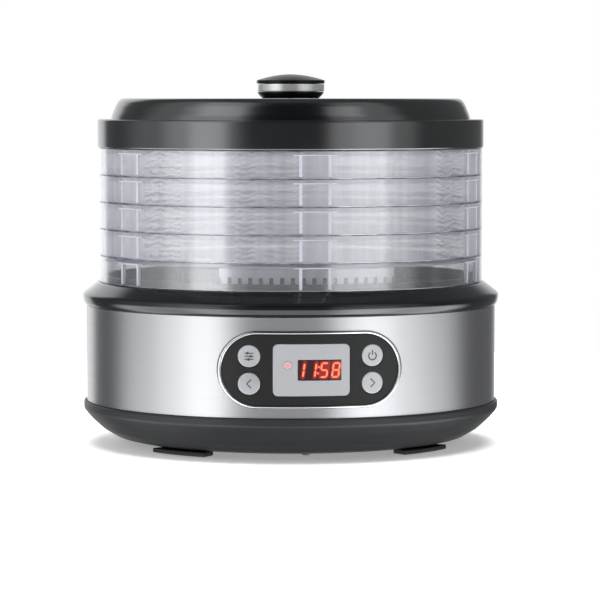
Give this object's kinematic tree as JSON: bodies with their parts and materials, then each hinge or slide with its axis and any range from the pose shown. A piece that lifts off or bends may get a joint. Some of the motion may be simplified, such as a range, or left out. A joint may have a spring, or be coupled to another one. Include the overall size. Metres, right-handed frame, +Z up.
{
  "type": "food dehydrator",
  "caption": "Round electric food dehydrator: black base with steel band and control panel, clear stacking trays and a black lid with a chrome-banded knob.",
  "frame": {"origin": "on the trays' common axis, at the surface that the feet stand on", "axes": "+Z up along the trays' axis; the control panel faces -Y; +X is to the right as the panel is seen"},
  "size_m": [0.346, 0.346, 0.305],
  "materials": {
    "base_plastic": "satin",
    "gloss_black": "gloss",
    "lid_black": "satin",
    "inner_black": "satin",
    "brushed_steel": "satin",
    "chrome": "polished",
    "zinc_steel": "satin",
    "clear_plastic": "gloss",
    "window_grey": "satin",
    "button_silver": "satin",
    "display_red": "gloss",
    "rubber": "matte",
    "board": "satin",
    "copper": "satin",
    "lamination": "satin",
    "mica": "matte"
  },
  "bodies": {
    "base": {"bottom_housing": "base_plastic", "steel_band": "brushed_steel", "upper_housing": "gloss_black", "vent_grille": "inner_black", "foot_front_right": "rubber", "foot_rear_right": "rubber", "foot_rear_left": "rubber", "foot_front_left": "rubber", "base_screw_right": "zinc_steel", "base_screw_rear": "zinc_steel", "base_screw_left": "zinc_steel", "base_screw_front": "zinc_steel", "air_duct": "inner_black", "heat_shield": "zinc_steel", "heater_frame": "mica", "heater_element": "zinc_steel", "motor_bracket": "zinc_steel", "motor_stator": "lamination", "motor_coil": "copper", "motor_screw_front": "zinc_steel", "motor_screw_rear": "zinc_steel", "control_board": "board", "display_module": "inner_black", "button_program_switch": "inner_black", "button_less_switch": "inner_black", "button_power_switch": "inner_black", "button_more_switch": "inner_black", "power_board": "board", "thermal_cutout": "zinc_steel", "temperature_sensor": "zinc_steel", "cord_gland": "rubber", "panel_trim": "chrome", "panel_plate": "gloss_black", "panel_window": "window_grey", "display_lens": "display_red", "indicator_lens": "window_grey"},
    "fan": {"rotor_shaft": "lamination", "fan": "inner_black"},
    "button_program": {"button_program": "button_silver"},
    "button_less": {"button_less": "button_silver"},
    "button_power": {"button_power": "button_silver"},
    "button_more": {"button_more": "button_silver"},
    "tray_5": {"tray_5": "clear_plastic"},
    "tray_4": {"tray_4": "clear_plastic"},
    "tray_3": {"tray_3": "clear_plastic"},
    "tray_2": {"tray_2": "clear_plastic"},
    "tray_1": {"tray_1": "clear_plastic"},
    "lid": {"lid": "lid_black", "knob_base": "gloss_black", "knob_ring": "chrome", "knob_cap": "gloss_black", "knob_screw": "zinc_steel"}
  },
  "joints": [
    {"name": "fan_spin", "type": "hinge", "parent": "base", "child": "fan", "pos_m": [0, 0, 0.084], "axis": [0, 0, 1], "continuous": true},
    {"name": "program_press", "type": "slide", "parent": "base", "child": "button_program", "axis": [0, 1, 0], "range_m": [0, 0.001], "stiffness_N_per_m": 400},
    {"name": "less_press", "type": "slide", "parent": "base", "child": "button_less", "axis": [0, 1, 0], "range_m": [0, 0.001], "stiffness_N_per_m": 400},
    {"name": "power_press", "type": "slide", "parent": "base", "child": "button_power", "axis": [0, 1, 0], "range_m": [0, 0.001], "stiffness_N_per_m": 400},
    {"name": "more_press", "type": "slide", "parent": "base", "child": "button_more", "axis": [0, 1, 0], "range_m": [0, 0.001], "stiffness_N_per_m": 400},
    {"name": "tray_5_lift", "type": "slide", "parent": "base", "child": "tray_5", "axis": [0, 0, 1], "range_m": [0, 0.08]},
    {"name": "tray_4_lift", "type": "slide", "parent": "tray_5", "child": "tray_4", "axis": [0, 0, 1], "range_m": [0, 0.08]},
    {"name": "tray_3_lift", "type": "slide", "parent": "tray_4", "child": "tray_3", "axis": [0, 0, 1], "range_m": [0, 0.08]},
    {"name": "tray_2_lift", "type": "slide", "parent": "tray_3", "child": "tray_2", "axis": [0, 0, 1], "range_m": [0, 0.08]},
    {"name": "tray_1_lift", "type": "slide", "parent": "tray_2", "child": "tray_1", "axis": [0, 0, 1], "range_m": [0, 0.08]},
    {"name": "lid_lift", "type": "slide", "parent": "tray_1", "child": "lid", "axis": [0, 0, 1], "range_m": [0, 0.1]}
  ]
}
